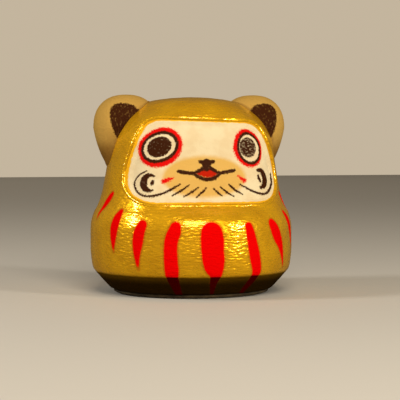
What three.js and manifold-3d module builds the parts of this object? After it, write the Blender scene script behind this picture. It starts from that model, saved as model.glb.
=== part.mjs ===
// Daruma doll with an animal's face: a hollow papier-mache body in two moulded halves, a
// separate moulded face set in the hood, a raised cord round it, two hollow ears, and a clay
// foot that keeps the doll upright. Millimetres, +Z up, the face looks towards -Y, and the
// origin is on the floor under the middle of the body.
import * as THREE from "three";
import { mergeVertices } from "three/addons/utils/BufferGeometryUtils.js";
import Module from "manifold-3d";

const wasm = await Module();
wasm.setup();

// ---- Driving dimensions ----
const BODY_TOP = 145.6; // crown of the hood above the floor
const BELLY_R = 74.8; // the body's largest radius
const WALL = 2.5; // papier-mache wall
const GAP = 0.3; // between glued pieces
const FLATTEN = 11; // how far the face is pressed in from the round
const FACE_HALF_ANGLE = 50; // degrees either side of the nose that are pressed in

const FOOT_R = 57.4; // clay foot, where it meets the floor
const FOOT_TOP = 3; // top of the foot's visible rim
const BOSS_R = 43.5; // part of the clay that plugs the body
const BOSS_TOP = 13;
const BOTTOM_PAPER_R = 53;
const BOTTOM_PAPER = 0.5; // thickness of the paper disc under the foot

const FACE_RECESS = 1.5; // face surface below the hood's
const FACE_WALL = 2;
const FACE_LAP = 5; // the face's rim runs this far behind the hood
const LAP_WALL = 1.5;
const LAP_BACK_Y = -14; // and stops short of the body's seam
const MUZZLE = { z: 89, height: 1.4, halfWidth: 21, halfHeight: 14 };

const CORD_R = 1.6; // the raised cord round the face
const CORD_OUT = 1.4; // its centre lies this far outside the opening
const CORD_LIFT = 0.4; // and this far above the hood's surface
const REBATE = 1.5; // depth of the step in the opening's edge that the cord lies on

const EAR = { x: 48.3, y: 4.5, z: 121.6, rx: 24, ry: 20, up: 24.7, down: 36 };
const EAR_SQUARE = 2.35; // 2 is round, higher is squarer
const EAR_TAPER = 0.27; // how much narrower the lobe gets towards its root

const STRIP_HALF_WIDTH = 8; // paper strips pasted inside the seam
const STRIP_THICK = 0.6;
const TOP_STRIP_HALF_LENGTH = 34;

const ROUND_STEPS = 52;
const PROFILE_STEPS = 19;
const FAR = 200; // longer than anything here

// Body outline, from the crown down: [radius / BELLY_R, height / BODY_TOP]
const BODY_OUTLINE = [
  [0, 1],
  [0.24, 0.993],
  [0.44, 0.968], // flat crown
  [0.588, 0.923],
  [0.709, 0.864], // shoulder of the hood
  [0.794, 0.782],
  [0.824, 0.693], // beside the eyes
  [0.845, 0.618],
  [0.887, 0.508],
  [0.927, 0.446], // the neck, where the robe flares out
  [0.968, 0.405],
  [0.995, 0.355],
  [1, 0.29], // belly
  [0.997, 0.213],
  [0.983, 0.151],
  [0.965, 0.12], // edge above the tucked-in bottom
];

// How much of FLATTEN applies at each height: [height / BODY_TOP, share]
const FLATTEN_BY_HEIGHT = [
  [0.385, 0],
  [0.413, 0.18],
  [0.453, 0.72],
  [0.495, 1],
  [0.652, 0.91],
  [0.755, 0.73],
  [0.865, 0.45],
  [0.934, 0],
];

const GOLD = "#c8920e";
const COLOURS = { cream: "#f4e2b4", beige: "#c79a55", paper: "#cdbf9f", clay: "#8d7a63" };

// ---- Solids ----

function solidOf(geometry) {
  const bare = geometry.clone();
  bare.deleteAttribute("normal");
  bare.deleteAttribute("uv");
  const merged = mergeVertices(bare, 1e-3);
  return new wasm.Manifold(
    new wasm.Mesh({
      numProp: 3,
      vertProperties: merged.attributes.position.array,
      triVerts: new Uint32Array(merged.index.array),
    }),
  );
}

// The main piece of a cut solid, without the shavings the cut leaves.
function largest(solid) {
  return solid.decompose().reduce((a, b) => (b.volume() > a.volume() ? b : a));
}

function geometryOf(solid) {
  const mesh = solid.getMesh();
  const geometry = new THREE.BufferGeometry();
  const places = new Float32Array(mesh.numVert * 3);
  for (let i = 0; i < mesh.numVert; i++)
    places.set(mesh.vertProperties.subarray(i * mesh.numProp, i * mesh.numProp + 3), i * 3);
  geometry.setAttribute("position", new THREE.BufferAttribute(places, 3));
  geometry.setIndex(new THREE.BufferAttribute(mesh.triVerts, 1));
  geometry.computeVertexNormals();
  return geometry;
}

function box(xFrom, xTo, yFrom, yTo, zFrom = -FAR, zTo = FAR) {
  const geometry = new THREE.BoxGeometry(xTo - xFrom, yTo - yFrom, zTo - zFrom);
  geometry.translate((xFrom + xTo) / 2, (yFrom + yTo) / 2, (zFrom + zTo) / 2);
  return solidOf(geometry);
}

// A solid of revolution about Z. Its [radius, height] points run from the top of the axis
// round the outside to the bottom of the axis.
function revolve(points) {
  const upwards = points.map(([r, z]) => new THREE.Vector2(r, z)).reverse();
  const geometry = new THREE.LatheGeometry(upwards, ROUND_STEPS);
  geometry.rotateX(Math.PI / 2);
  return geometry;
}

// ---- The body's surface ----

function interpolate(table, at) {
  if (at <= table[0][0]) return table[0][1];
  for (let i = 1; i < table.length; i++) {
    const [from, before] = table[i - 1];
    const [to, after] = table[i];
    if (at <= to) return before + ((after - before) * (at - from)) / (to - from);
  }
  return table[table.length - 1][1];
}

// How far the face is pressed in at an angle from the nose, in degrees, and a height.
function pressedIn(angle, z) {
  if (Math.abs(angle) >= FACE_HALF_ANGLE) return 0;
  const share = Math.cos(((angle / FACE_HALF_ANGLE) * Math.PI) / 2) ** 2;
  return FLATTEN * interpolate(FLATTEN_BY_HEIGHT, z / BODY_TOP) * share;
}

function muzzleLift(x, z) {
  const away = (x / MUZZLE.halfWidth) ** 2 + ((z - MUZZLE.z) / MUZZLE.halfHeight) ** 2;
  return MUZZLE.height * Math.exp(-away * 1.2);
}

const outline = new THREE.SplineCurve(
  BODY_OUTLINE.map(([r, z]) => new THREE.Vector2(r * BELLY_R, z * BODY_TOP)),
);

// The body's outline moved inwards by a depth, from the axis to the tucked-in bottom's edge.
function outlineAt(depth, steps = PROFILE_STEPS) {
  const points = [];
  for (let i = 0; i <= steps; i++) {
    const at = outline.getPoint(i / steps);
    const along = outline.getTangent(i / steps);
    const radius = i === 0 ? 0 : Math.max(0, at.x + along.y * depth);
    points.push([radius, at.y - Math.max(0, along.x) * depth]);
  }
  return points;
}

// Presses the face in on a revolved body. Each profile point is pressed as much as the point
// of the outer surface it lies behind, whose height is in heights, so that walls keep their
// thickness.
function pressFace(geometry, heights, withMuzzle) {
  const place = geometry.attributes.position;
  for (let i = 0; i < place.count; i++) {
    const [x, y, z] = [place.getX(i), place.getY(i), place.getZ(i)];
    const radius = Math.hypot(x, y);
    if (radius < 1e-6) continue;
    const angle = THREE.MathUtils.radToDeg(Math.atan2(x, -y));
    const height = heights[i % heights.length];
    const reach = Math.min(1, radius / (0.4 * BELLY_R));
    const lift = withMuzzle && y < 0 ? muzzleLift(x, height) : 0;
    const scale = (radius - pressedIn(angle, height) * reach + lift) / radius;
    place.setXYZ(i, x * scale, y * scale, z);
  }
  return geometry;
}

// Everything inside the body's surface moved inwards by a depth, down to a height.
function insideBody(depth, bottom, withMuzzle = false) {
  const side = outlineAt(depth);
  const [edgeRadius, edgeHeight] = side[side.length - 1];
  const slope = (edgeRadius - FOOT_R) / edgeHeight;
  const bottomRadius = edgeRadius - slope * (edgeHeight - bottom);
  const points = [...side, [bottomRadius, bottom], [0, bottom]];
  const heights = [...outlineAt(0).map(([, z]) => z), bottom, bottom].reverse();
  return solidOf(pressFace(revolve(points), heights, withMuzzle));
}

// ---- The opening for the face, as an outline seen from the front, grown by a margin ----
function openingShape(margin = 0) {
  const shape = new THREE.Shape();
  const [low, high] = [68.6 - margin, 125.2 + margin];
  const [chin, cheek, brow] = [36, 55 + margin, 30];
  shape.moveTo(0, low);
  shape.lineTo(chin, low);
  shape.bezierCurveTo(cheek - 5, low, cheek, low + 6, cheek - 0.2, low + 15);
  shape.bezierCurveTo(cheek - 1.4, low + 29, cheek - 6, high - 14, cheek - 13, high - 5);
  shape.bezierCurveTo(cheek - 16, high - 1.5, brow + 4, high, brow, high);
  shape.lineTo(-brow, high);
  shape.bezierCurveTo(-brow - 4, high, 16 - cheek, high - 1.5, 13 - cheek, high - 5);
  shape.bezierCurveTo(6 - cheek, high - 14, 1.4 - cheek, low + 29, 0.2 - cheek, low + 15);
  shape.bezierCurveTo(-cheek, low + 6, 5 - cheek, low, -chin, low);
  shape.closePath();
  return shape;
}

function openingPrism(margin) {
  const geometry = new THREE.ExtrudeGeometry(openingShape(margin), {
    depth: FAR,
    bevelEnabled: false,
    curveSegments: 7,
  });
  geometry.rotateX(Math.PI / 2);
  return solidOf(geometry);
}

// The point on the body's surface that is seen at x and z from the front.
function onFront(x, z, lift) {
  const samples = outlineAt(0, 200)
    .map(([r, height]) => [height, r])
    .reverse();
  const round = interpolate(samples, z);
  let y = -Math.sqrt(Math.max(1, round ** 2 - x ** 2));
  for (let i = 0; i < 30; i++) {
    const angle = THREE.MathUtils.radToDeg(Math.atan2(x, -y));
    const radius = round - pressedIn(angle, z) + lift;
    y = -Math.sqrt(Math.max(1, radius ** 2 - x ** 2));
  }
  return new THREE.Vector3(x, y, z);
}

function cordSolid(radius) {
  const seen = openingShape(CORD_OUT).getSpacedPoints(72).slice(0, -1);
  const path = new THREE.CatmullRomCurve3(
    seen.map((p) => onFront(p.x, p.y, CORD_LIFT)),
    true,
  );
  return solidOf(new THREE.TubeGeometry(path, 76, radius, 8, true));
}

// ---- Pieces ----

const front = box(-FAR, FAR, -FAR, -GAP / 2);
const back = box(-FAR, FAR, GAP / 2, FAR);

// The whole gold body before it is cut into halves, with the clay's hole in its bottom.
function bodyShell() {
  const bottom = FOOT_TOP + GAP;
  const holeTop = bottom + 2 * WALL;
  const hole = revolve([
    [0, holeTop],
    [BOSS_R + GAP, holeTop],
    [BOSS_R + GAP, -1],
    [0, -1],
  ]);
  return insideBody(0, bottom)
    .subtract(insideBody(WALL, bottom + WALL))
    .subtract(solidOf(hole));
}

function faceMask() {
  const panel = insideBody(FACE_RECESS, 20, true)
    .subtract(insideBody(FACE_RECESS + FACE_WALL, 10, true))
    .intersect(openingPrism(-GAP));
  const lap = insideBody(WALL + GAP, 20)
    .subtract(insideBody(WALL + GAP + LAP_WALL, 10))
    .intersect(openingPrism(FACE_LAP));
  return panel
    .add(lap.subtract(openingPrism(-GAP - FACE_WALL)))
    .intersect(box(-FAR, FAR, -FAR, LAP_BACK_Y));
}

// A plump rounded-square lobe, longer below its middle than above, with its wall taken off
// all round by inset.
function earLobe(side, inset) {
  const geometry = new THREE.SphereGeometry(1, 20, 14);
  const place = geometry.attributes.position;
  for (let i = 0; i < place.count; i++) {
    const [x, y, z] = [place.getX(i), place.getY(i), place.getZ(i)];
    const sum = [x, y, z].reduce((total, c) => total + Math.abs(c) ** EAR_SQUARE, 0);
    const scale = sum ** (-1 / EAR_SQUARE);
    const width = scale * (1 + EAR_TAPER * Math.min(0, z * scale));
    const tall = (z > 0 ? EAR.up : EAR.down) - inset;
    place.setXYZ(
      i,
      side * EAR.x + x * width * (EAR.rx - inset),
      EAR.y + y * width * (EAR.ry - inset),
      EAR.z + z * scale * tall,
    );
  }
  return solidOf(geometry);
}

function ear(side) {
  return earLobe(side, 0).subtract(earLobe(side, WALL)).subtract(insideBody(-GAP, 0));
}

function seamStrip(xFrom, xTo) {
  const lowest = FOOT_TOP + GAP + WALL + 2;
  const depth = WALL + GAP;
  return insideBody(depth, lowest)
    .subtract(insideBody(depth + STRIP_THICK, lowest - 1))
    .intersect(box(xFrom, xTo, -STRIP_HALF_WIDTH, STRIP_HALF_WIDTH));
}

function baseWeight() {
  const bottom = BOTTOM_PAPER + GAP;
  return solidOf(
    revolve([
      [0, BOSS_TOP],
      [BOSS_R - 4, BOSS_TOP - 1],
      [BOSS_R, BOSS_TOP - 4],
      [BOSS_R, FOOT_TOP],
      [FOOT_R + 0.4, FOOT_TOP],
      [FOOT_R, bottom + 0.4],
      [FOOT_R - 0.6, bottom],
      [0, bottom],
    ]),
  );
}

function basePaper() {
  return solidOf(
    revolve([
      [0, BOTTOM_PAPER],
      [BOTTOM_PAPER_R, BOTTOM_PAPER],
      [BOTTOM_PAPER_R, 0],
      [0, 0],
    ]),
  );
}

// ---- The doll ----

const finishes = {
  gold: { color: GOLD, roughness: 0.35, metalness: 0.6 },
  cream: { color: COLOURS.cream, roughness: 0.7, metalness: 0 },
  beige: { color: COLOURS.beige, roughness: 0.8, metalness: 0 },
  paper: { color: COLOURS.paper, roughness: 0.95, metalness: 0 },
  clay: { color: COLOURS.clay, roughness: 0.9, metalness: 0 },
};

const doll = new THREE.Group();

function addPiece(name, solid, finish) {
  const mesh = new THREE.Mesh(
    geometryOf(solid),
    new THREE.MeshStandardMaterial(finishes[finish]),
  );
  mesh.name = name;
  doll.add(mesh);
}

const shell = bodyShell();
const cordGroove = cordSolid(CORD_R + GAP);
const rebate = openingPrism(CORD_OUT).subtract(insideBody(REBATE, 0));
const frontShell = shell
  .intersect(front)
  .subtract(openingPrism(0))
  .subtract(rebate)
  .subtract(cordGroove);
addPiece("front_shell", largest(frontShell), "gold");
addPiece("back_shell", shell.intersect(back), "gold");
addPiece("face_mask", largest(faceMask().subtract(cordGroove)), "cream");
addPiece("hood_cord", cordSolid(CORD_R), "gold");
addPiece("right_ear", ear(-1), "beige");
addPiece("left_ear", ear(1), "beige");
addPiece("seam_strip_right", seamStrip(-FAR, -TOP_STRIP_HALF_LENGTH - GAP), "paper");
addPiece("seam_strip_top", seamStrip(-TOP_STRIP_HALF_LENGTH, TOP_STRIP_HALF_LENGTH), "paper");
addPiece("seam_strip_left", seamStrip(TOP_STRIP_HALF_LENGTH + GAP, FAR), "paper");
addPiece("base_weight", baseWeight(), "clay");
addPiece("base_paper", basePaper(), "paper");

export default doll;
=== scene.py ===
import math

import bpy
import numpy as np
from bpy.props import FloatProperty, FloatVectorProperty, IntProperty, PointerProperty
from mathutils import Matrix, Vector


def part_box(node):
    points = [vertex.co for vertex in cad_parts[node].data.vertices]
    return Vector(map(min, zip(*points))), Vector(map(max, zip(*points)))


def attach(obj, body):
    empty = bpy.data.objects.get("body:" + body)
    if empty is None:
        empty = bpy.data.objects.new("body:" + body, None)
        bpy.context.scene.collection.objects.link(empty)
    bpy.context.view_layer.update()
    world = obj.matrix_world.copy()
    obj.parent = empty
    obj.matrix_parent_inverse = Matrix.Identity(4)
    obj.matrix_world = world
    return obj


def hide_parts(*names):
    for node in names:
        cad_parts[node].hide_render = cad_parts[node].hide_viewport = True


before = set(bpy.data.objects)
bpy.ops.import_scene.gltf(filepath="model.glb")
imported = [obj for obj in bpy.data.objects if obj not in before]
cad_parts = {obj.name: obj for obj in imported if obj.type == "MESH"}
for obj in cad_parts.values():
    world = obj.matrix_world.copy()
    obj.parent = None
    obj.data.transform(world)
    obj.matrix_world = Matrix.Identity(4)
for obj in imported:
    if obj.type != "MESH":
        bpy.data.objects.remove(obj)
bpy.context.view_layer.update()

bl_info = {
    "name": "Daruma Doll",
    "version": (1, 0, 0),
    "blender": (4, 5, 0),
    "location": "View3D > Sidebar > Daruma",
    "description": "Builds a papier-mache daruma doll with an animal's face round its CAD frame",
    "category": "Object",
}

MM = 0.001

# ---- The frame's sizes, in metres ----
SHELL_LOW, SHELL_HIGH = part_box("front_shell")
CORD_LOW, CORD_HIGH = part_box("hood_cord")
EAR_LOW, EAR_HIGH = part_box("left_ear")
FOOT_LOW, FOOT_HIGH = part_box("base_weight")
PAPER_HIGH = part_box("base_paper")[1]
BELLY_RADIUS = SHELL_HIGH.x
CROWN = SHELL_HIGH.z
BELLY_MM = BELLY_RADIUS / MM

# Body outline from the crown down: (share of the belly radius, share of the crown height)
BODY_OUTLINE = [
    (0, 0.993),
    (0.24, 0.985),
    (0.44, 0.966),
    (0.588, 0.923),
    (0.709, 0.864),
    (0.794, 0.782),
    (0.824, 0.693),
    (0.845, 0.618),
    (0.887, 0.508),
    (0.927, 0.446),
    (0.968, 0.405),
    (0.995, 0.355),
    (1, 0.29),
    (0.999, 0.213),
    (0.986, 0.151),
    (0.972, 0.122),
]
# The tucked-in bottom, down to the hole that the clay plugs
TUCK_OUTLINE = [(0.9, 0.078), (0.803, 0.024), (0.788, 0.0227), (0.592, 0.0227)]

# How much of the face's flattening applies at each height: (share of the crown height, share)
FLATTEN_BY_HEIGHT = [
    (0.385, 0),
    (0.413, 0.18),
    (0.453, 0.72),
    (0.495, 1),
    (0.652, 0.91),
    (0.755, 0.73),
    (0.865, 0.45),
    (0.934, 0),
]

# The opening's left half in the hood as curves of four points each, from the chin up to the
# brow: (share of the half width, mm added to it, share of the height, mm added to it)
OPENING_CURVES = [
    [(0.655, 0, 0, 0), (1, -5, 0, 0), (1, 0, 0, 6), (1, -0.2, 0, 15)],
    [(1, -0.2, 0, 15), (1, -1.4, 0, 29), (1, -6, 1, -14), (1, -13, 1, -5)],
    [(1, -13, 1, -5), (1, -16, 1, -1.5), (0.545, 4, 1, 0), (0.545, 0, 1, 0)],
]
CHIN_REACH = 25 * MM  # how far up the cheeks the opening's lower edge has its say
# Painted shade under the crease, in steps: (share of it, from and to a share of the crown height)
PAINTED_SHADE_STEPS = [(0.84, 0.124, 0.108), (0.16, 0.11, 0.06)]
EYE_HEIGHT = 95 * MM
FACE_REACH = 66 * MM  # how far to either side of the nose the face's grid is laid out

# ---- Brush strokes on the robe: (degrees from the middle, mm above the floor, mm half width)
ROBE_STROKES = [
    [(-1.5, 48.2, 7.5), (-1.1, 43, 8.3), (-0.9, 35, 8), (-0.4, 29, 7.9), (0.1, 24.4, 7),
     (0.9, 21, 5.4), (1.2, 17.5, 4.2), (0.8, 11, 2.6), (1.5, 3.5, 1.5)],
    [(-21, 52.3, 3.7), (-21.9, 48, 4.7), (-23.3, 43, 4.8), (-23.8, 35, 4.8), (-23.4, 22, 5.1),
     (-23.2, 16, 4.5), (-22.3, 10, 3.9), (-20.8, 3.4, 2.9)],
    [(-40.3, 53.2, 3.6), (-42.2, 47, 4.4), (-43, 40, 4.2), (-43.4, 32, 2.6), (-43.3, 26, 1.4),
     (-43, 21.5, 0.3)],
    [(-57.4, 61.8, 2.2), (-58.9, 57, 3.9), (-60.1, 50, 4), (-60.7, 43, 2.9), (-60.6, 37, 1.4),
     (-60.4, 32.8, 0.3)],
    [(-71.3, 74, 1.8), (-74.5, 70, 3.2), (-78, 65, 2.8), (-80.4, 60, 1.5), (-81.5, 55.5, 0.3)],
    [(20.6, 52.2, 3), (22, 45, 3.8), (23.4, 37.4, 4.4), (25, 29, 4.6), (26.7, 21.4, 4.2),
     (26.8, 17, 3.8), (25.8, 11, 3.6), (24.4, 6, 2.8), (22.6, 2, 1)],
    [(38.7, 53.2, 3.6), (41, 49, 4.8), (43.5, 44, 4.9), (46.5, 38, 3.7), (48.6, 32, 2.3),
     (50.4, 26, 1.2), (52, 20.5, 0.3)],
    [(57.2, 60, 2), (61, 54, 3.5), (63.8, 46, 3.2), (66.3, 38, 1.5), (67.5, 33, 0.3)],
    [(65, 74, 1.6), (68.2, 70, 2.8), (71.8, 65, 2.5), (75, 60, 1.2), (76.5, 57, 0.3)],
]

# ---- Marks on the face: (mm across the face, mm above the floor, mm half width) ----
DARK_STROKES = [
    # mouth
    [(-20.4, 90.9, 1.2), (-17, 90.1, 1.35), (-13, 89.7, 1.3), (-9.6, 89.4, 1.3)],
    [(-10.2, 89.2, 1), (-6, 91, 1.3), (-3, 92.8, 1.5), (-0.4, 93.8, 1.8),
     (2.4, 92.8, 1.5), (5.4, 91, 1.25), (9.2, 89.4, 1)],
    [(-10, 89.2, 1), (-6, 86.7, 1.35), (-2.5, 85.2, 1.45), (0.2, 84.9, 1.45),
     (3.4, 85.3, 1.4), (6.6, 87.1, 1.3), (9.3, 89.2, 1)],
    [(9, 89.5, 1.2), (13.5, 90.2, 1.35), (17, 90.9, 1.3), (19.8, 91.4, 1.05)],
    # nose
    [(-5, 97.5, 1.3), (-2, 97, 1.7), (1.4, 97, 1.7), (4.6, 97.6, 1.3)],
    [(-0.4, 96.3, 3.4), (-0.4, 94.6, 2.8), (-0.4, 93, 2.4)],
    # curl on the doll's right cheek
    [(-37.8, 87.6, 0.8), (-40.6, 88.3, 1.3), (-43.8, 86.6, 2.3), (-45, 82.6, 2.9),
     (-43.6, 79.2, 2.3), (-40.6, 77.4, 1.4), (-37.8, 77.6, 0.7)],
    [(-38.2, 83.9, 1.1), (-38.6, 82.3, 1.3)],
    [(-43.6, 91.2, 0.45), (-49.5, 88, 0.6), (-52.6, 82.6, 0.75), (-50, 77.2, 0.75),
     (-44.6, 74, 0.75), (-38, 73.6, 0.8), (-31.3, 75.3, 0.8), (-25.3, 78.1, 0.8),
     (-19.2, 81.8, 0.55)],
    # curl on the doll's left cheek
    [(39, 91.4, 1.1), (42.4, 91, 1.9), (45, 88, 2.7), (45.6, 84.2, 2.9), (43.6, 80.6, 2.3),
     (39.8, 78.8, 1.1)],
    [(39.2, 87.4, 1), (39.6, 85.2, 1.3), (40.4, 83.4, 1)],
    [(55.6, 88.4, 0.6), (54.8, 82.3, 0.95), (50.1, 77.4, 1.05), (43.6, 74.5, 0.95),
     (37.8, 74.7, 0.85), (32.8, 76.4, 0.8), (27.6, 78.9, 0.75), (22.6, 81.6, 0.55)],
    # chin hairs
    [(-13.1, 81, 0.5), (-18.6, 77.2, 0.8), (-24.4, 73.9, 0.45)],
    [(-6.4, 79.4, 0.5), (-11.4, 76, 0.85), (-16.4, 73.3, 0.45)],
    [(-0.9, 79.1, 0.5), (-4, 75.8, 0.8), (-7.6, 72.8, 0.45)],
    [(4.2, 78.5, 0.5), (6.8, 75.8, 0.8), (9.8, 73.6, 0.45)],
    [(8.8, 79.6, 0.5), (13.2, 76, 0.85), (17.9, 73, 0.45)],
    [(15, 81.4, 0.5), (19.2, 77.4, 0.85), (24.3, 74.5, 0.45)],
]
TONGUE = [(-6.6, 89.3, 1.2), (-3, 89.6, 2.6), (-0.3, 89.7, 3.4), (3, 89.4, 2.6), (6.3, 89.3, 1.2)]
# Dashes beside the mouth
RED_STROKES = [
    [(-30.6, 84, 1.6), (-27.6, 84.9, 1.3), (-24.2, 86.2, 0.5)],
    [(26.6, 84.2, 1.5), (24.8, 85.4, 1.1), (22.6, 87.3, 0.5)],
]
# Eyes as ovals: (middle across, middle up, half width, half height), degrees of tilt, and how
# dry the brush was on the pupil, from 0 to 1
EYES = [
    {"red": (-34.8, 108.2, 17.2, 14.2), "ring": (-35, 108.4, 14.7, 11.3), "ring_width": 2.4,
     "pupil": (-35.1, 108.4, 9.4, 7.4), "tilt": 17, "dry": 0},
    {"red": (33.2, 107.5, 13.2, 14), "ring": (33.7, 107.3, 10.9, 12), "ring_width": 2.1,
     "pupil": (32.3, 107.9, 7.4, 7.4), "tilt": 17, "dry": 1},
]
# The sprayed muzzle as an oval, and its swelling: mm above the floor, half width, half height
MUZZLE_OVAL = (-1.8, 87, 30.2, 15.2)
MUZZLE_SWELLING = (89, 21, 14)

# ---- The dark patch in the ear: (mm outwards from the ear's middle, mm up from it) ----
EAR_PATCH = [(-6, 13), (-3, 16.4), (1.6, 17.8), (6.6, 18.2), (10.9, 17.2), (13.8, 14.4),
             (14.7, 10), (14.2, 4), (12.2, -2.6), (9.3, -7.4), (5.8, -5.6), (1.2, -0.6),
             (-2.6, 4.8), (-5.2, 9)]

UNPAINTED = -20.0  # mm, the depth given to places far from any paint
RELIEF_TREE = "Papier-mache Relief"

# ---- Studio, in metres ----
WARM = (1, 0.86, 0.66)
DOLL_MIDDLE = (0, 0, 0.08)
# Name, place, aim, size, power in watts, colour, and whether the lacquer mirrors it
LIGHTS = [
    ("Key", (-0.1, -1.6, 1.2), DOLL_MIDDLE, (1, 1), 28, WARM, True),
    ("Left Window", (-1.44, -0.1, 0.8), DOLL_MIDDLE, (0.3, 0.42), 11, (1, 0.95, 0.85), True),
    ("Right Window", (1, -1.15, 0.5), DOLL_MIDDLE, (0.2, 0.34), 11, (1, 0.94, 0.8), True),
    ("Back", (0, 2.8, 1.8), (0, 2.2, 0), (3, 1.5), 9, WARM, False),
]
ROOM_COLOUR = (1, 0.84, 0.62, 1)
ROOM_LIGHT = 0.08  # how strongly the room lights the doll
ROOM_SEEN = 0.55  # how bright the room looks behind it


# ---- Shape helpers ----

def smooth_line(points, steps):
    """Points of a smooth line through the given ones, with any further columns carried along."""
    points = np.array(points, float)
    before = np.vstack([points[:1], points[:-2]])
    after = np.vstack([points[2:], points[-1:]])
    start, end = points[:-1], points[1:]
    slope_in = (end - before) / 2
    slope_out = (after - start) / 2
    t = np.linspace(0, 1, steps, endpoint=False)[:, None, None]
    cubic = (2 * start - 2 * end + slope_in + slope_out) * t**3
    square = (-3 * start + 3 * end - 2 * slope_in - slope_out) * t**2
    line = cubic + square + slope_in * t + start
    return np.vstack([line.transpose(1, 0, 2).reshape(-1, points.shape[1]), points[-1:]])


def blurred(values, width):
    """Values at even steps, each averaged with its neighbours; the ends stay."""
    padded = np.pad(values, width, mode="reflect", reflect_type="odd")
    kernel = np.hanning(2 * width + 3)[1:-1]
    return np.convolve(padded, kernel / kernel.sum(), mode="valid")


def smooth_step(value, low, high):
    t = np.clip((value - low) / (high - low), 0, 1)
    return t * t * (3 - 2 * t)


class BodyRule:
    """The body's surface: an outline turned about Z, pressed in over the face."""

    STEP = 0.1 * MM

    def __init__(self, sizes):
        self.sizes = sizes
        line = np.vstack([smooth_line(BODY_OUTLINE, 24), TUCK_OUTLINE])
        radius = line[:, 0] * BELLY_RADIUS
        height = line[:, 1] * CROWN
        run = np.concatenate([[0], np.cumsum(np.hypot(np.diff(radius), np.diff(height)))])
        self.run = np.arange(0, run[-1], self.STEP)
        corner = round(sizes.crease_radius / self.STEP / 2)
        self.radius = blurred(np.interp(self.run, run, radius), corner)
        self.height = blurred(np.interp(self.run, run, height), corner)
        self.length = self.run[-1]
        table = np.array(FLATTEN_BY_HEIGHT)
        self.press_height = np.linspace(0, 1, 600)
        self.press = blurred(np.interp(self.press_height, table[:, 0], table[:, 1]), 14)

    def run_at(self, height):
        """Distance down the outline from the crown to a height."""
        return np.interp(-height, -self.height, self.run)

    def pressed_in(self, angle, height):
        reach = math.radians(self.sizes.flat_half_angle)
        share = np.cos(np.clip(np.abs(angle) / reach, 0, 1) * math.pi / 2) ** 2
        by_height = np.interp(height / CROWN, self.press_height, self.press)
        return self.sizes.flatten * by_height * share

    def at(self, angle, run, lift=0.0):
        """Points at angles from the nose and distances down the outline."""
        height = np.interp(run, self.run, self.height)
        round_radius = np.interp(run, self.run, self.radius)
        step = 0.5 * MM
        rise = np.interp(run + step, self.run, self.radius) - np.interp(
            run - step, self.run, self.radius)
        drop = np.interp(run - step, self.run, self.height) - np.interp(
            run + step, self.run, self.height)
        size = np.maximum(np.hypot(rise, drop), 1e-9)
        outward = drop / size
        upward = rise / size
        reach = np.minimum(1, round_radius / (0.4 * BELLY_RADIUS))
        radius = round_radius - self.pressed_in(angle, height) * reach + lift * outward
        return np.stack(
            [radius * np.sin(angle), -radius * np.cos(angle), height + lift * upward], -1)


class Opening:
    """The outline of the hood's opening, seen from the front."""

    def __init__(self, sizes):
        out = sizes.cad_cord_radius + sizes.cad_cord_out
        self.low = CORD_LOW.z + out
        self.high = CORD_HIGH.z - out
        self.half = CORD_HIGH.x - out
        self.line = self.outline(sizes)

    def outline(self, sizes):
        t = np.linspace(0, 1, 28, endpoint=False)[:, None]
        left = []
        for curve in OPENING_CURVES:
            wide, out, tall, up = np.array(curve).T
            across = wide * self.half + out * MM
            height = self.low + tall * (self.high - self.low) + up * MM
            a, b, c, d = np.stack([across, height], -1)
            left.append((1 - t) ** 3 * a + 3 * (1 - t) ** 2 * t * b
                        + 3 * (1 - t) * t**2 * c + t**3 * d)
        left = np.vstack([*left, d])
        line = np.vstack([left, left[::-1] * [-1, 1]])
        share = smooth_step(line[:, 1], (self.low + self.high) / 2, self.high)
        line[:, 1] += share * (sizes.brow_rise - sizes.brow_tilt * line[:, 0])
        return line

    def outside(self, x, z):
        """Distance outside the opening, negative inside it."""
        return -outline_depth(x, z, self.line)

    def chin_share(self, z):
        """1 along the opening's lower edge, falling to 0 up the cheeks."""
        return 1 - smooth_step(z, self.low, self.low + CHIN_REACH)


def off_segment(x, y, start, end):
    """Distance from each place to a straight line, and the share of the way along it."""
    dx, dy = end[:2] - start[:2]
    share = np.clip(((x - start[0]) * dx + (y - start[1]) * dy) / (dx * dx + dy * dy), 0, 1)
    return np.hypot(x - start[0] - share * dx, y - start[1] - share * dy), share


def stroke_depth(x, y, stroke, steps=5):
    """How far inside a brush stroke each place lies, negative outside, in the stroke's unit."""
    line = smooth_line(stroke, steps) if len(stroke) > 2 else np.array(stroke, float)
    depth = np.full(np.shape(x), UNPAINTED)
    for start, end in zip(line, line[1:]):
        gap, share = off_segment(x, y, start, end)
        depth = np.maximum(depth, start[2] + share * (end[2] - start[2]) - gap)
    return depth


def oval_depth(across, up, oval, tilt=0.0):
    """How far inside an oval each place lies, along the line to its middle."""
    x, y = across - oval[0], up - oval[1]
    turn = math.radians(tilt)
    along = x * math.cos(turn) + y * math.sin(turn)
    over = -x * math.sin(turn) + y * math.cos(turn)
    share = np.maximum(np.hypot(along / oval[2], over / oval[3]), 1e-6)
    return np.hypot(x, y) * (1 / share - 1)


def outline_depth(x, y, line):
    """How far inside a closed line each place lies, negative outside."""
    nearest = np.full(np.shape(x), np.inf)
    inside = np.zeros(np.shape(x), bool)
    for start, end in zip(line, np.roll(line, -1, axis=0)):
        nearest = np.minimum(nearest, off_segment(x, y, start, end)[0])
        dx, dy = end - start
        if dy:
            crossed = (start[1] > y) != (end[1] > y)
            inside ^= crossed & (x < start[0] + dx * (y - start[1]) / dy)
    return np.where(inside, nearest, -nearest)


# ---- Mesh helpers ----

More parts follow.
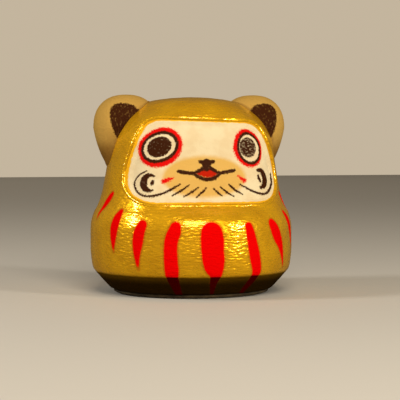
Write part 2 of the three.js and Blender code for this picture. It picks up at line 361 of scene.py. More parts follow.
def grid_faces(rows, columns, closed=False):
    """Corner numbers of the quads of a grid, row after row."""
    across = columns if closed else columns - 1
    row, column = np.meshgrid(np.arange(rows - 1), np.arange(across), indexing="ij")
    start = (row * columns + column).ravel()
    beside = (row * columns + (column + 1) % columns).ravel()
    return np.stack([start, start + columns, beside + columns, beside], -1)


def make_mesh(name, points, faces, marks=None):
    """A mesh object from points and quads; marks are named numbers, one for each point."""
    used = np.zeros(len(points), bool)
    used[faces.ravel()] = True
    number = np.cumsum(used) - 1
    mesh = bpy.data.meshes.new(name)
    mesh.from_pydata(points[used].tolist(), [], number[faces].tolist())
    for mark, values in (marks or {}).items():
        layer = mesh.attributes.new(mark, "FLOAT", "POINT")
        layer.data.foreach_set("value", np.asarray(values, np.float32)[used])
    mesh.polygons.foreach_set("use_smooth", np.ones(len(mesh.polygons), bool))
    piece = bpy.data.objects.new(name, mesh)
    bpy.context.scene.collection.objects.link(piece)
    return piece


def merge_doubles(piece):
    weld = piece.modifiers.new("weld", "WELD")
    weld.merge_threshold = 0.01 * MM


def add_wall(piece, thickness):
    wall = piece.modifiers.new("wall", "SOLIDIFY")
    wall.thickness = thickness
    wall.offset = -1
    wall.use_even_offset = False


def plain_mesh(piece):
    """Turns the piece with its modifiers into a plain mesh."""
    graph = bpy.context.evaluated_depsgraph_get()
    mesh = bpy.data.meshes.new_from_object(piece.evaluated_get(graph))
    mesh.name = piece.name
    mesh.set_sharp_from_angle(angle=math.radians(50))
    piece.modifiers.clear()
    old = piece.data
    piece.data = mesh
    bpy.data.meshes.remove(old)


def seat(piece, node):
    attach(piece, "root")
    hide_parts(node)


# ---- Geometry Nodes ----

class Nodes:
    """Adds, sets and joins the nodes of a tree."""

    def __init__(self, tree):
        self.tree = tree

    def node(self, kind, **settings):
        made = self.tree.nodes.new(kind)
        for key, value in settings.items():
            setattr(made, key, value)
        return made

    def join(self, source, target):
        self.tree.links.new(source, target)

    def feed(self, socket, value):
        """Joins an output to the socket, or sets the socket's own number or colour."""
        if isinstance(value, bpy.types.NodeSocket):
            self.join(value, socket)
        elif socket.type == "RGBA":
            socket.default_value = (*value, 1)
        else:
            socket.default_value = value

    def math(self, operation, first, second=0.0):
        made = self.node("ShaderNodeMath", operation=operation)
        self.feed(made.inputs[0], first)
        self.feed(made.inputs[1], second)
        return made.outputs[0]


class ShapeTree(Nodes):
    """A geometry tree whose inputs have names."""

    def __init__(self, name):
        super().__init__(bpy.data.node_groups.new(name, "GeometryNodeTree"))
        for way in ("INPUT", "OUTPUT"):
            self.tree.interface.new_socket("Geometry", in_out=way,
                                           socket_type="NodeSocketGeometry")
        self.start = self.node("NodeGroupInput")
        self.end = self.node("NodeGroupOutput")

    def number(self, name, kind="NodeSocketFloat"):
        """A named input of the tree."""
        self.tree.interface.new_socket(name, in_out="INPUT", socket_type=kind)
        return self.start.outputs[name]

    def finish(self, geometry):
        """Ends the tree as every tree here ends."""
        real = self.node("GeometryNodeRealizeInstances")
        paint = self.node("GeometryNodeSetMaterial")
        self.join(geometry, real.inputs["Geometry"])
        self.join(real.outputs["Geometry"], paint.inputs["Geometry"])
        self.join(self.number("Finish", "NodeSocketMaterial"), paint.inputs["Material"])
        self.join(paint.outputs["Geometry"], self.end.inputs["Geometry"])
        return self.tree

    def rippled(self, geometry):
        """Moves the surface in and out by a noise that is longer across than up."""
        height = self.number("Ripple Height")
        pitch = self.number("Ripple Pitch")
        stretch = self.number("Ripple Stretch")
        seed = self.number("Seed")
        place = self.node("GeometryNodeInputPosition")
        apart = self.node("ShaderNodeSeparateXYZ")
        together = self.node("ShaderNodeCombineXYZ")
        self.join(place.outputs[0], apart.inputs[0])
        long_pitch = self.math("MULTIPLY", pitch, stretch)
        for axis, size in (("X", long_pitch), ("Y", long_pitch), ("Z", pitch)):
            self.join(self.math("DIVIDE", apart.outputs[axis], size), together.inputs[axis])
        noise = self.node("ShaderNodeTexNoise", noise_dimensions="4D")
        noise.inputs["Scale"].default_value = 1
        noise.inputs["Detail"].default_value = 2
        self.join(together.outputs[0], noise.inputs["Vector"])
        self.join(seed, noise.inputs["W"])
        swing = self.math("SUBTRACT", noise.outputs[0], 0.5)
        lift = self.math("MULTIPLY", swing, height)
        push = self.node("ShaderNodeVectorMath", operation="SCALE")
        self.join(self.node("GeometryNodeInputNormal").outputs[0], push.inputs[0])
        self.join(lift, push.inputs["Scale"])
        shift = self.node("GeometryNodeSetPosition")
        self.join(geometry, shift.inputs["Geometry"])
        self.join(push.outputs[0], shift.inputs["Offset"])
        return shift.outputs["Geometry"]


def ripple_tree():
    """Papier-mache relief on a finished surface."""
    tree = ShapeTree(RELIEF_TREE)
    return tree.finish(tree.rippled(tree.start.outputs["Geometry"]))


def cord_tree():
    """A round cord along a path of edges, with the papier-mache relief on it."""
    tree = ShapeTree("Cord Along Path")
    path = tree.node("GeometryNodeMeshToCurve")
    tree.join(tree.start.outputs["Geometry"], path.inputs["Mesh"])
    circle = tree.node("GeometryNodeCurvePrimitiveCircle", mode="RADIUS")
    tree.join(tree.number("Cord Radius"), circle.inputs["Radius"])
    tree.join(tree.number("Sides", "NodeSocketInt"), circle.inputs["Resolution"])
    sweep = tree.node("GeometryNodeCurveToMesh")
    tree.join(path.outputs["Curve"], sweep.inputs["Curve"])
    tree.join(circle.outputs["Curve"], sweep.inputs["Profile Curve"])
    smooth = tree.node("GeometryNodeSetShadeSmooth")
    tree.join(sweep.outputs["Mesh"], smooth.inputs["Geometry"])
    return tree.finish(tree.rippled(smooth.outputs["Geometry"]))


def run_tree(piece, tree, values):
    """Puts a tree on a piece, with its inputs set by their names."""
    modifier = piece.modifiers.new(tree.name, "NODES")
    modifier.node_group = tree
    sockets = {item.name: item.identifier for item in tree.interface.items_tree
               if item.in_out == "INPUT"}
    for name, value in values.items():
        modifier[sockets[name]] = value


def ripple(piece, finish, relief, share=1.0):
    """Gives a piece its finish and a share of the papier-mache relief."""
    run_tree(piece, bpy.data.node_groups.get(RELIEF_TREE) or ripple_tree(), {
        "Ripple Height": relief.height * share,
        "Ripple Pitch": relief.pitch,
        "Ripple Stretch": relief.stretch,
        "Seed": float(relief.seed),
        "Finish": finish,
    })


# ---- Materials ----

class Finish(Nodes):
    """One material, made of nodes round its shader."""

    def __init__(self, name, roughness=0.5):
        self.material = bpy.data.materials.new(name)
        self.material.use_nodes = True
        super().__init__(self.material.node_tree)
        self.shader = self.tree.nodes["Principled BSDF"]
        self.place = self.node("ShaderNodeTexCoord").outputs["Object"]
        self.set("Roughness", roughness)

    def set(self, socket, value):
        self.feed(self.shader.inputs[socket], value)

    def mark(self, name):
        return self.node("ShaderNodeAttribute", attribute_name=name).outputs["Fac"]

    def noise(self, pitch, detail=2.0, stretch=(1, 1, 1), turn=(0, 0, 0), rough=0.5):
        """A noise whose blobs are about a pitch apart, in metres, longer along stretch."""
        mapping = self.node("ShaderNodeMapping")
        mapping.inputs["Rotation"].default_value = turn
        mapping.inputs["Scale"].default_value = [1 / (pitch * s) for s in stretch]
        self.join(self.place, mapping.inputs["Vector"])
        made = self.node("ShaderNodeTexNoise")
        made.inputs["Scale"].default_value = 1
        made.inputs["Detail"].default_value = detail
        made.inputs["Roughness"].default_value = rough
        self.join(mapping.outputs[0], made.inputs["Vector"])
        return made.outputs["Fac"]

    def blend(self, value, low, high, at_low=0.0, at_high=1.0):
        """A soft step from at_low to at_high as the value goes from low to high."""
        made = self.node("ShaderNodeMapRange", interpolation_type="SMOOTHSTEP")
        for socket, number in zip(made.inputs, (value, low, high, at_low, at_high)):
            self.feed(socket, number)
        return made.outputs["Result"]

    def mix(self, share, first, second):
        made = self.node("ShaderNodeMix", data_type="RGBA")
        self.feed(made.inputs["Factor"], share)
        self.feed(made.inputs[6], first)
        self.feed(made.inputs[7], second)
        return made.outputs[2]

    def ragged(self, mark, wobble, pitch, softness, **noise):
        """Where a painted mark covers, with a brushed edge; wobble and softness are in mm."""
        swing = self.math("SUBTRACT", self.noise(pitch, **noise), 0.5)
        edge = self.math("ADD", mark, self.math("MULTIPLY", swing, wobble))
        return self.blend(edge, -softness, softness)

    def bump(self, *layers, target="Normal"):
        """Bump from (height, depth in metres) layers, one over another."""
        normal = None
        for height, depth in layers:
            made = self.node("ShaderNodeBump")
            made.inputs["Strength"].default_value = 1
            made.inputs["Distance"].default_value = depth
            self.join(height, made.inputs["Height"])
            if normal:
                self.join(normal, made.inputs["Normal"])
            normal = made.outputs["Normal"]
        self.join(normal, self.shader.inputs[target])


def gold_finish(name, colours, with_strokes):
    """Gold lacquer, crinkled crosswise, with red brush strokes where marked and painted shade
    below the crease.
    """
    gold = Finish(name)
    gold.set("Specular IOR Level", 0)
    gold.set("Coat Roughness", 0.1)
    cloud = gold.noise(14 * MM, detail=3)
    speck = gold.noise(1.6 * MM, detail=1, stretch=(2.2, 2.2, 1))
    crinkle = gold.noise(1.3 * MM, detail=1.5, stretch=(3, 3, 1), rough=0.4)
    colour = gold.mix(gold.blend(cloud, 0.3, 0.7, 0.55, 1), colours.gold_shade, colours.gold)
    colour = gold.mix(gold.blend(speck, 0.4, 0.9, 0, 0.12), colour, colours.gold_shade)
    roughness = gold.blend(speck, 0.3, 0.7, 0.26, 0.36)
    # Painted shade: under the crease the lacquer turns nearly black and loses its metal and coat
    under = gold.blend(gold.mark("under"), 0, 1, 0, 0.99)
    metallic = gold.blend(under, 0, 1, 0.5, 0.05)
    coat = gold.blend(under, 0, 0.9, 0.7, 0)
    colour = gold.mix(under, colour, colours.gold_painted_shade)
    if with_strokes:
        stroke = gold.mark("red_mm")
        swing = gold.math("MULTIPLY", gold.noise(1.6 * MM), 0.9)
        halo = gold.blend(gold.math("ADD", stroke, swing), -1.3, 0.7, 0, 0.85)
        halo = gold.math("MULTIPLY", halo, gold.math("SUBTRACT", 1, under))
        colour = gold.mix(halo, colour, colours.stroke_edge)
        cover = gold.ragged(stroke, 0.8, 1.3 * MM, 0.35, detail=3)
        # Painted shade: strokes under the crease darken nearly to black too
        red = gold.mix(gold.blend(under, 0, 0.8), colours.red, colours.red_painted_shade)
        colour = gold.mix(cover, colour, red)
        roughness = gold.blend(cover, 0, 1, roughness, 0.5)
        metallic = gold.blend(cover, 0, 1, metallic, 0)
        coat = gold.blend(cover, 0, 1, coat, 0)
    gold.set("Coat Weight", coat)
    gold.set("Base Color", colour)
    gold.set("Roughness", roughness)
    gold.set("Metallic", metallic)
    gold.bump((crinkle, 0.5 * MM), (speck, 0.06 * MM))
    gold.bump((crinkle, 0.35 * MM), target="Coat Normal")
    return gold.material


def face_finish(name, colours):
    """Matte cream ground with a sprayed muzzle and brush-painted marks."""
    face = Finish(name, roughness=0.62)
    face.set("Specular IOR Level", 0.04)
    cloud = face.noise(9 * MM, detail=3)
    fibre = face.noise(0.7 * MM, detail=3, stretch=(1, 1, 2.6), turn=(0, 0.5, 0))
    weave = face.noise(0.45 * MM, detail=2)
    colour = face.mix(face.blend(cloud, 0.35, 0.7), colours.cream, colours.cream_shade)
    grain = face.noise(1.2 * MM, detail=3)
    tan_edge = face.math("ADD", face.mark("tan_mm"), face.math("MULTIPLY", grain, 1.4))
    colour = face.mix(face.blend(tan_edge, -1.2, 3.6, 0, 0.92), colour, colours.tan)
    red = face.ragged(face.mark("red_mm"), 4.6, 0.75 * MM, 0.25, detail=3)
    colour = face.mix(face.math("MULTIPLY", face.blend(face.mark("red_mm"), -1.4, 0.6), 0.35),
                      colour, colours.red_wash)
    pigment = face.mix(face.blend(face.mark("tongue_mm"), -1, 0), colours.face_red, colours.tongue)
    colour = face.mix(red, colour, pigment)
    ink = face.ragged(face.mark("dark_mm"), 2.8, 0.7 * MM, 0.25, detail=3)
    streak = face.noise(0.9 * MM, detail=3, stretch=(2.2, 1, 1), turn=(0, 0.9, 0))
    missed = face.blend(face.math("ADD", streak, face.math("MULTIPLY", face.mark("dry"), 0.12)),
                        0.62, 0.8, 1, 0.5)
    ink = face.math("MULTIPLY", ink, missed)
    colour = face.mix(ink, colour, colours.ink)
    rim = face.ragged(face.mark("rim_mm"), 1.1, 3 * MM, 0.25, detail=2)
    colour = face.mix(rim, colour, colours.gold)
    face.set("Base Color", colour)
    face.set("Roughness", face.blend(ink, 0, 1, 0.62, 0.48))
    face.set("Metallic", face.blend(rim, 0, 1, 0, 0.5))
    face.bump((fibre, 0.12 * MM), (weave, 0.05 * MM), (ink, 0.08 * MM))
    return face.material


def ear_finish(name, colours):
    """Sprayed beige with painted shade towards its bottom and root, and a dry-brushed dark patch.
    """
    ear = Finish(name, roughness=0.7)
    ear.set("Specular IOR Level", 0.04)
    cloud = ear.noise(7 * MM, detail=3)
    fibre = ear.noise(1.0 * MM, detail=3, stretch=(2, 2, 1))
    fine = ear.noise(0.5 * MM, detail=2)
    # Painted shade: darker towards the ear's bottom and where it meets the hood, broken up by a
    # little cloud
    shade = ear.math("ADD", ear.mark("root"), ear.math("MULTIPLY", cloud, 0.3))
    colour = ear.mix(ear.blend(shade, 0.2, 1.1), colours.beige, colours.beige_fibre_and_painted_shade)
    colour = ear.mix(ear.blend(fibre, 0.55, 0.8, 0, 0.25), colour, colours.beige_fibre_and_painted_shade)
    patch = ear.ragged(ear.mark("patch_mm"), 3, 0.9 * MM, 0.5, detail=3)
    speck = ear.noise(1.2 * MM, detail=3, stretch=(1, 1, 1.7), turn=(0, 0.6, 0))
    cover = ear.math("MULTIPLY", patch, ear.blend(speck, 0.52, 0.74, 1, 0.74))
    colour = ear.mix(cover, colour, colours.ink)
    ear.set("Base Color", colour)
    ear.bump((fibre, 0.18 * MM), (fine, 0.06 * MM))
    return ear.material


def clay_finish(name, colours):
    """Unfired clay under a thin brown wash, both kept very dark as painted shade under the body.
    """
    clay = Finish(name, roughness=0.82)
    cloud = clay.noise(6 * MM, detail=4)
    grit = clay.noise(0.6 * MM, detail=3)
    colour = clay.mix(clay.blend(cloud, 0.35, 0.65), colours.clay, colours.clay_wash)
    colour = clay.mix(clay.blend(grit, 0.55, 0.75, 0, 0.5), colour, colours.clay_wash)
    clay.set("Base Color", colour)
    clay.set("Roughness", clay.blend(grit, 0.3, 0.7, 0.7, 0.92))
    clay.bump((cloud, 0.3 * MM), (grit, 0.12 * MM))
    return clay.material


def paper_finish(name, colours):
    """Raw hand-made paper with long fibres."""
    paper = Finish(name, roughness=0.9)
    fibre = paper.noise(0.8 * MM, detail=4, stretch=(6, 1, 1), turn=(0.4, 0.3, 0.6))
    cross = paper.noise(0.9 * MM, detail=4, stretch=(1, 6, 1), turn=(0.2, 0.5, 0.3))
    pulp = paper.noise(5 * MM, detail=3)
    colour = paper.mix(paper.blend(fibre, 0.5, 0.8, 0, 0.7), colours.paper, colours.paper_fibre)
    colour = paper.mix(paper.blend(cross, 0.55, 0.8, 0, 0.5), colour, colours.paper_fibre)
    colour = paper.mix(paper.blend(pulp, 0.4, 0.75, 0, 0.4), colour, colours.paper_fibre)
    paper.set("Base Color", colour)
    paper.bump((fibre, 0.1 * MM), (cross, 0.1 * MM))
    return paper.material


def floor_finish(name, colours):
    floor = Finish(name, roughness=0.75)
    floor.set("Base Color", colours.floor)
    return floor.material


def finish_named(name, make, *arguments):
    """A material made once and used by every piece of that finish."""
    return bpy.data.materials.get(name) or make(name, *arguments)


# ---- Settings ----

def length(name, description, default):
    return FloatProperty(name=name, description=description, default=default,
                         subtype="DISTANCE", unit="LENGTH", precision=5)


def colour(name, description, default):
    return FloatVectorProperty(name=name, description=description, default=default,
                               subtype="COLOR", size=3, min=0, max=1)


class DollSizes(bpy.types.PropertyGroup):
    wall: length("Wall", "Thickness of the papier-mache body", 2.5 * MM)
    flatten: length("Flattening", "How far the face is pressed in from the round", 11 * MM)
    flat_half_angle: FloatProperty(
        name="Flat Half Angle", description="Degrees beside the nose that are pressed in",
        default=50, min=10, max=90)
    crease_radius: length("Crease", "Rounding of the edge above the tucked-in bottom", 3 * MM)
    row_spacing: length("Row Spacing", "Distance between rows of the body's mesh", 0.62 * MM)
    columns: IntProperty(name="Columns", description="Mesh columns of each half", default=144)
    face_spacing: length("Face Spacing", "Distance between points of the face's mesh", 0.40 * MM)
    face_recess: length("Face Recess", "Face surface below the hood's", 1.5 * MM)
    face_edge_recess: length("Edge Recess", "Face surface below the hood's at its edge", 0.1 * MM)
    face_edge: length("Face Edge", "How far the face reaches under the cord", 1.7 * MM)
    hood_edge: length("Hood Edge", "Where the hood ends under the cord", 1.8 * MM)
    face_wall: length("Face Wall", "Thickness of the moulded face", 2 * MM)
    muzzle_lift: length("Muzzle", "How far the muzzle stands out", 1.6 * MM)
    paint_thickness: length("Paint", "Thickness of a brush stroke", 0.12 * MM)
    cad_cord_radius: length("Frame Cord Radius", "Radius of the frame's cord", 1.6 * MM)
    cad_cord_out: length("Frame Cord Offset", "The frame's cord outside the opening", 1.4 * MM)
    cord_radius: length("Cord Radius", "Radius of the raised cord round the face", 2.2 * MM)
    cord_out: length("Cord Offset", "Cord's middle outside the opening", 2.3 * MM)
    cord_lift: length("Cord Lift", "Cord's middle above the hood's surface", -0.9 * MM)
    cord_sink: length("Cord Sink", "How much lower the cord lies under the chin", 0.6 * MM)
    ridge_height: length("Ridge", "Height of the hood's swelling under the cord", 0.8 * MM)
    ridge_width: length("Ridge Width", "Reach of that swelling", 3.6 * MM)
    brow_rise: length("Brow Rise", "How far the opening's top is above the frame's", 1 * MM)
    brow_tilt: FloatProperty(name="Brow Tilt", description="Rise towards the doll's right",
                             default=0.03)
    ear_half_width: length("Ear Half Width", "Half the ear's width where it is widest", 24 * MM)
    ear_half_depth: length("Ear Half Depth", "Half the ear's thickness", 20 * MM)
    ear_rise: length("Ear Rise", "The ear above its widest place", 24.7 * MM)
    ear_drop: length("Ear Drop", "The ear below its widest place", 36 * MM)
    ear_square: FloatProperty(name="Ear Squareness", description="2 is round, higher is squarer",
                              default=2.35, min=1)
    ear_taper: FloatProperty(name="Ear Taper", description="How far it narrows to its root",
                             default=0.27)
    ear_flare: length("Ear Flare", "Swelling of the ear where it meets the hood", 0.7 * MM)
    ear_root: length("Ear Root", "How deep in the hood the ear's root lies", 0.8 * MM)
    ear_spacing: length("Ear Spacing", "Distance between points of the ear's mesh", 0.55 * MM)
    ear_dent: length("Ear Dent", "How far the ear is dished inside", 0.9 * MM)
    plug_radius: length("Plug Radius", "Radius of the clay plug inside the body", 43.5 * MM)
    plug_bevel: length("Plug Bevel", "Bevel round the top of the clay plug", 4 * MM)
    foot_corner: length("Foot Corner", "Rounding of the clay foot's corners", 0.9 * MM)
    paper_corner: length("Paper Corner", "Rounding of the paper disc's edge", 0.15 * MM)
    glue_gap: length("Glue Gap", "Glue line between the foot and the body", 0.3 * MM)


class Relief(bpy.types.PropertyGroup):
    height: length("Height", "Height of the papier-mache ripples", 0.5 * MM)
    pitch: length("Pitch", "Distance between ripples, up the doll", 1.6 * MM)
    stretch: FloatProperty(name="Stretch", description="How much longer ripples are across",
                           default=3, min=1)
    seed: IntProperty(name="Seed", description="Which ripples", default=4)


class DollColours(bpy.types.PropertyGroup):
    gold: colour("Gold", "Lit gold lacquer", (0.88, 0.465, 0.010))
    gold_shade: colour("Gold Shade", "Darker patches of the lacquer", (0.62, 0.29, 0.007))
    # Painted shade: the lacquer's colour under the crease
    gold_painted_shade: colour("Gold Underside", "Lacquer under the crease", (0.01, 0.004, 0.0003))
    red: colour("Red", "Brush strokes", (0.72, 0.001, 0.001))
    face_red: colour("Face Red", "Rings round the eyes", (0.66, 0.004, 0.002))
    tongue: colour("Tongue", "Red inside the mouth", (0.46, 0.012, 0.001))
    # Painted shade: the strokes' colour under the crease
    red_painted_shade: colour("Red Underside", "Strokes under the crease", (0.045, 0.0003, 0.0003))
    red_wash: colour("Red Wash", "Thin red beside a stroke", (0.8, 0.18, 0.08))
    stroke_edge: colour("Stroke Edge", "Where red thins over gold", (0.62, 0.14, 0.004))
    cream: colour("Cream", "Face ground", (0.75, 0.64, 0.42))
    cream_shade: colour("Cream Shade", "Duller parts of the face", (0.71, 0.57, 0.35))
    tan: colour("Tan", "Sprayed muzzle", (0.66, 0.39, 0.08))
    ink: colour("Ink", "Dark brush marks", (0.04, 0.01, 0.002))
    beige: colour("Beige", "Ears", (0.46, 0.275, 0.062))
    # Painted shade at the ear's bottom and root, and also the colour of its darker fibres
    beige_fibre_and_painted_shade: colour("Beige Shade", "Ears near the root", (0.20, 0.095, 0.015))
    # Both foot colours are kept very dark as painted shade: the foot sits in the shadow under the
    # crease
    clay: colour("Clay", "Foot", (0.07, 0.045, 0.014))
    clay_wash: colour("Clay Wash", "Wash over the foot", (0.025, 0.014, 0.003))
    paper: colour("Paper", "Raw paper", (0.62, 0.52, 0.36))
    paper_fibre: colour("Paper Fibre", "Fibres in the paper", (0.42, 0.32, 0.19))
    floor: colour("Floor", "Studio floor", (0.62, 0.60, 0.57))


class Studio(bpy.types.PropertyGroup):
    distance: length("Camera Distance", "From the doll's axis", 1150 * MM)
    azimuth: FloatProperty(name="Camera Azimuth", description="Degrees round the doll",
                           default=-12.7)
    height: length("Camera Height", "Above the floor", 118 * MM)
    aim_height: length("Aim Height", "Height that the camera looks at", 68 * MM)
    aim_right: length("Aim Right", "How far right of the doll it looks", 6.7 * MM)
    lens: FloatProperty(name="Lens", description="Focal length in mm on a 36 mm sensor",
                        default=138.9)
    floor_size: length("Floor Size", "Side of the square floor", 6.0)


# ---- Body ----

def body_marks(rule, angle, run):
    """How far inside a red stroke each point of the robe lies, in mm."""
    depth = np.full(angle.shape, UNPAINTED)
    for stroke in ROBE_STROKES:
        line = [(math.radians(a) * BELLY_MM, rule.run_at(h * MM) / MM, w) for a, h, w in stroke]
        depth = np.maximum(depth, stroke_depth(angle * BELLY_MM, run / MM, line))
    return depth


def settle(angle, run, rule, opening, target):
    """Slides points over the surface until they lie a given distance outside the opening."""
    step = 0.05 * MM

    def gap(a, r):
        point = rule.at(a, r)
        return opening.outside(point[..., 0], point[..., 2]) - target

    for _ in range(5):
        here = gap(angle, run)
        across = (gap(angle + step / BELLY_RADIUS, run) - here) / step
        along = (gap(angle, run + step) - here) / step
        size = np.maximum(across**2 + along**2, 0.05)
        angle = angle - here * across / size / BELLY_RADIUS
        run = run - here * along / size
    return angle, run


def trimmed(angle, run, faces, rule, opening, edge, side):
    """Keeps the quads outside the opening, or inside it where side is -1.

    The border's angles and runs are changed in place, so that it lies edge outside the opening.
    """
    point = rule.at(angle, run)
    over = side * (opening.outside(point[:, 0], point[:, 2]) - edge)
    faces = faces[(over[faces] > 0).any(1)]
    border = np.zeros(over.shape, bool)
    border[faces.ravel()] = True
    border &= over <= 0
    angle[border], run[border] = settle(angle[border], run[border], rule, opening, edge)
    return faces


def body_half(name, rule, opening, sizes, front):
    """Half of the gold body, from the crown down, as a surface without its wall."""
    rows = round(rule.length / sizes.row_spacing)
    turn = np.linspace(-math.pi / 2, math.pi / 2, sizes.columns + 1)
    if not front:
        turn = turn + math.pi
    run, angle = np.meshgrid(np.linspace(0, rule.length, rows), turn, indexing="ij")
    faces = grid_faces(*run.shape)
    angle, run = angle.ravel(), run.ravel()
    if front:
        faces = trimmed(angle, run, faces, rule, opening, sizes.hood_edge, 1)
    nose_angle = (angle + math.pi) % (2 * math.pi) - math.pi
    point = rule.at(nose_angle, run)
    outside = opening.outside(point[:, 0], point[:, 2])
    ridge = np.exp(-(((outside - sizes.cord_out) / sizes.ridge_width) ** 2))
    in_front = point[:, 1] < -10 * MM
    lower = 1 - 0.6 * opening.chin_share(point[:, 2])
    ridge = ridge * sizes.ridge_height * lower * in_front
    red = body_marks(rule, nose_angle, run) if front else np.full(angle.shape, UNPAINTED)
    paint = smooth_step(red, -0.2, 0.6) * sizes.paint_thickness
    point = rule.at(nose_angle, run, ridge + paint)
    height = point[:, 2] / CROWN
    # Painted shade below the crease, deepening towards the bottom, kept as the under mark
    under = sum(share * smooth_step(-height, -top, -low) for share, top, low in PAINTED_SHADE_STEPS)
    return make_mesh(name, point, faces, {"red_mm": red, "under": under})


class DARUMA_OT_body(bpy.types.Operator):
    """Builds the gold papier-mache body in its two halves"""

    bl_idname = "daruma.body"
    bl_label = "Body Halves"

    def execute(self, context):
        scene = context.scene
        sizes = scene.doll_sizes
        rule, opening = BodyRule(sizes), Opening(sizes)
        for node, front in (("front_shell", True), ("back_shell", False)):
            half = body_half("gold_" + node, rule, opening, sizes, front)
            merge_doubles(half)
            finish = finish_named("Gold Lacquer", gold_finish, scene.doll_colours, True)
            ripple(half, finish, scene.doll_relief)
            add_wall(half, sizes.wall)
            plain_mesh(half)
            seat(half, node)
        return {"FINISHED"}


# ---- Face ----

def face_marks(across, up):
    """Painted marks on the face as depths in mm, and how dry the brush was."""
    dark = np.full(across.shape, UNPAINTED)
    red = np.full(across.shape, UNPAINTED)
    dry = np.zeros(across.shape)
    for stroke in DARK_STROKES:
        dark = np.maximum(dark, stroke_depth(across, up, stroke))
    for stroke in RED_STROKES:
        red = np.maximum(red, stroke_depth(across, up, stroke))
    for eye in EYES:
        ring = oval_depth(across, up, eye["ring"], eye["tilt"])
        pupil = oval_depth(across, up, eye["pupil"], eye["tilt"])
        whole = oval_depth(across, up, eye["red"], eye["tilt"])
        half = eye["ring_width"] / 2
        dark = np.maximum(dark, half - np.abs(ring - half))
        dark = np.maximum(dark, pupil)
        red = np.maximum(red, np.minimum(whole, half - ring))
        dry = np.maximum(dry, eye["dry"] * smooth_step(pupil, -1, 0))
    tongue = stroke_depth(across, up, TONGUE)
    red = np.maximum(red, tongue)
    tan = oval_depth(across, up, MUZZLE_OVAL)
    return {"dark_mm": dark, "red_mm": red, "tongue_mm": tongue, "dry": dry, "tan_mm": tan}


def across_table(rule, recess):
    """Angles from the nose and the distance across the face at each, at eye height."""
    angle = np.radians(np.linspace(0, 80, 1600))
    point = rule.at(angle, np.full(angle.shape, rule.run_at(EYE_HEIGHT)), -recess)
    run = np.hypot(np.diff(point[:, 0]), np.diff(point[:, 1]))
    return angle, np.concatenate([[0], np.cumsum(run)])


def face_surface(rule, opening, sizes):
    """The face as a surface without its wall."""
    angles, lengths = across_table(rule, sizes.face_recess)
    columns = 2 * round(FACE_REACH / sizes.face_spacing) + 1
    across = np.linspace(-FACE_REACH, FACE_REACH, columns)
    turn = np.sign(across) * np.interp(np.abs(across), lengths, angles)
    low, high = rule.run_at(opening.low - 2 * MM), rule.run_at(opening.high + 5 * MM)
    rows = round((low - high) / sizes.face_spacing)
    run, angle = np.meshgrid(np.linspace(high, low, rows), turn, indexing="ij")
    faces = grid_faces(*run.shape)
    angle, run = angle.ravel(), run.ravel()
    faces = trimmed(angle, run, faces, rule, opening, sizes.face_edge, -1)
    point = rule.at(angle, run)
    outside = opening.outside(point[:, 0], point[:, 2])
    inwards = smooth_step(-outside, 0, 3 * MM)
    recess = sizes.face_edge_recess + (sizes.face_recess - sizes.face_edge_recess) * inwards
    middle, half_width, half_height = np.array(MUZZLE_SWELLING) * MM
    away = (point[:, 0] / half_width) ** 2 + ((point[:, 2] - middle) / half_height) ** 2
    muzzle = sizes.muzzle_lift * np.exp(-1.2 * away)
    up = point[:, 2] / MM
    marks = face_marks(np.sign(angle) * np.interp(np.abs(angle), angles, lengths) / MM, up)
    marks["rim_mm"] = outside / MM + 0.3
    painted = np.maximum(smooth_step(marks["dark_mm"], -0.2, 0.4),
                         smooth_step(marks["red_mm"], -0.2, 0.4))
    lift = muzzle - recess + painted * sizes.paint_thickness
    return make_mesh("painted_face", rule.at(angle, run, lift), faces, marks)


class DARUMA_OT_face(bpy.types.Operator):
    """Builds the moulded face with its painted marks"""

    bl_idname = "daruma.face"
    bl_label = "Face"

    def execute(self, context):
        scene = context.scene
        sizes = scene.doll_sizes
        face = face_surface(BodyRule(sizes), Opening(sizes), sizes)
        finish = finish_named("Painted Face", face_finish, scene.doll_colours)
        ripple(face, finish, scene.doll_relief, share=0.35)
        add_wall(face, sizes.face_wall)
        plain_mesh(face)
        seat(face, "face_mask")
        return {"FINISHED"}


# ---- Cord ----

def cord_path(rule, opening, sizes):
    """A closed line of edges on the hood, a little outside the opening."""
    line = opening.line
    ends = np.vstack([line, line[:1]])
    run = np.concatenate([[0], np.cumsum(np.hypot(*np.diff(ends, axis=0).T))])
    count = 420
    at = np.linspace(0, run[-1], count, endpoint=False)
    x, z = np.interp(at, run, ends[:, 0]), np.interp(at, run, ends[:, 1])
    down = rule.run_at(z)
    angle = np.arcsin(np.clip(x / np.interp(down, rule.run, rule.radius), -1, 1))
    # Where the face is pressed in, the radius depends on the angle, so the angle takes rounds
    for _ in range(30):
        point = rule.at(angle, down)
        radius = np.hypot(point[:, 0], point[:, 1])
        angle = np.arcsin(np.clip(x / radius, -1, 1))
    angle, down = settle(angle, down, rule, opening, sizes.cord_out)
    low = opening.chin_share(point[:, 2])
    point = rule.at(angle, down, sizes.cord_lift - sizes.cord_sink * low)
    mesh = bpy.data.meshes.new("hood_cord_path")
    mesh.from_pydata(point.tolist(), [(i, (i + 1) % count) for i in range(count)], [])
    path = bpy.data.objects.new("gold_cord", mesh)
    bpy.context.scene.collection.objects.link(path)
    return path


class DARUMA_OT_cord(bpy.types.Operator):
    """Lays the raised gold cord round the face"""

    bl_idname = "daruma.cord"
    bl_label = "Hood Cord"

    def execute(self, context):
        scene = context.scene
        sizes, relief = scene.doll_sizes, scene.doll_relief
        cord = cord_path(BodyRule(sizes), Opening(sizes), sizes)
        run_tree(cord, cord_tree(), {
            "Cord Radius": sizes.cord_radius,
            "Sides": 24,
            "Ripple Height": relief.height * 0.8,
            "Ripple Pitch": relief.pitch,
            "Ripple Stretch": 1.5,
            "Seed": float(relief.seed + 1),
            "Finish": finish_named("Gold Cord Lacquer", gold_finish, scene.doll_colours, False),
        })
        plain_mesh(cord)
        seat(cord, "hood_cord")
        return {"FINISHED"}


# ---- Ears ----

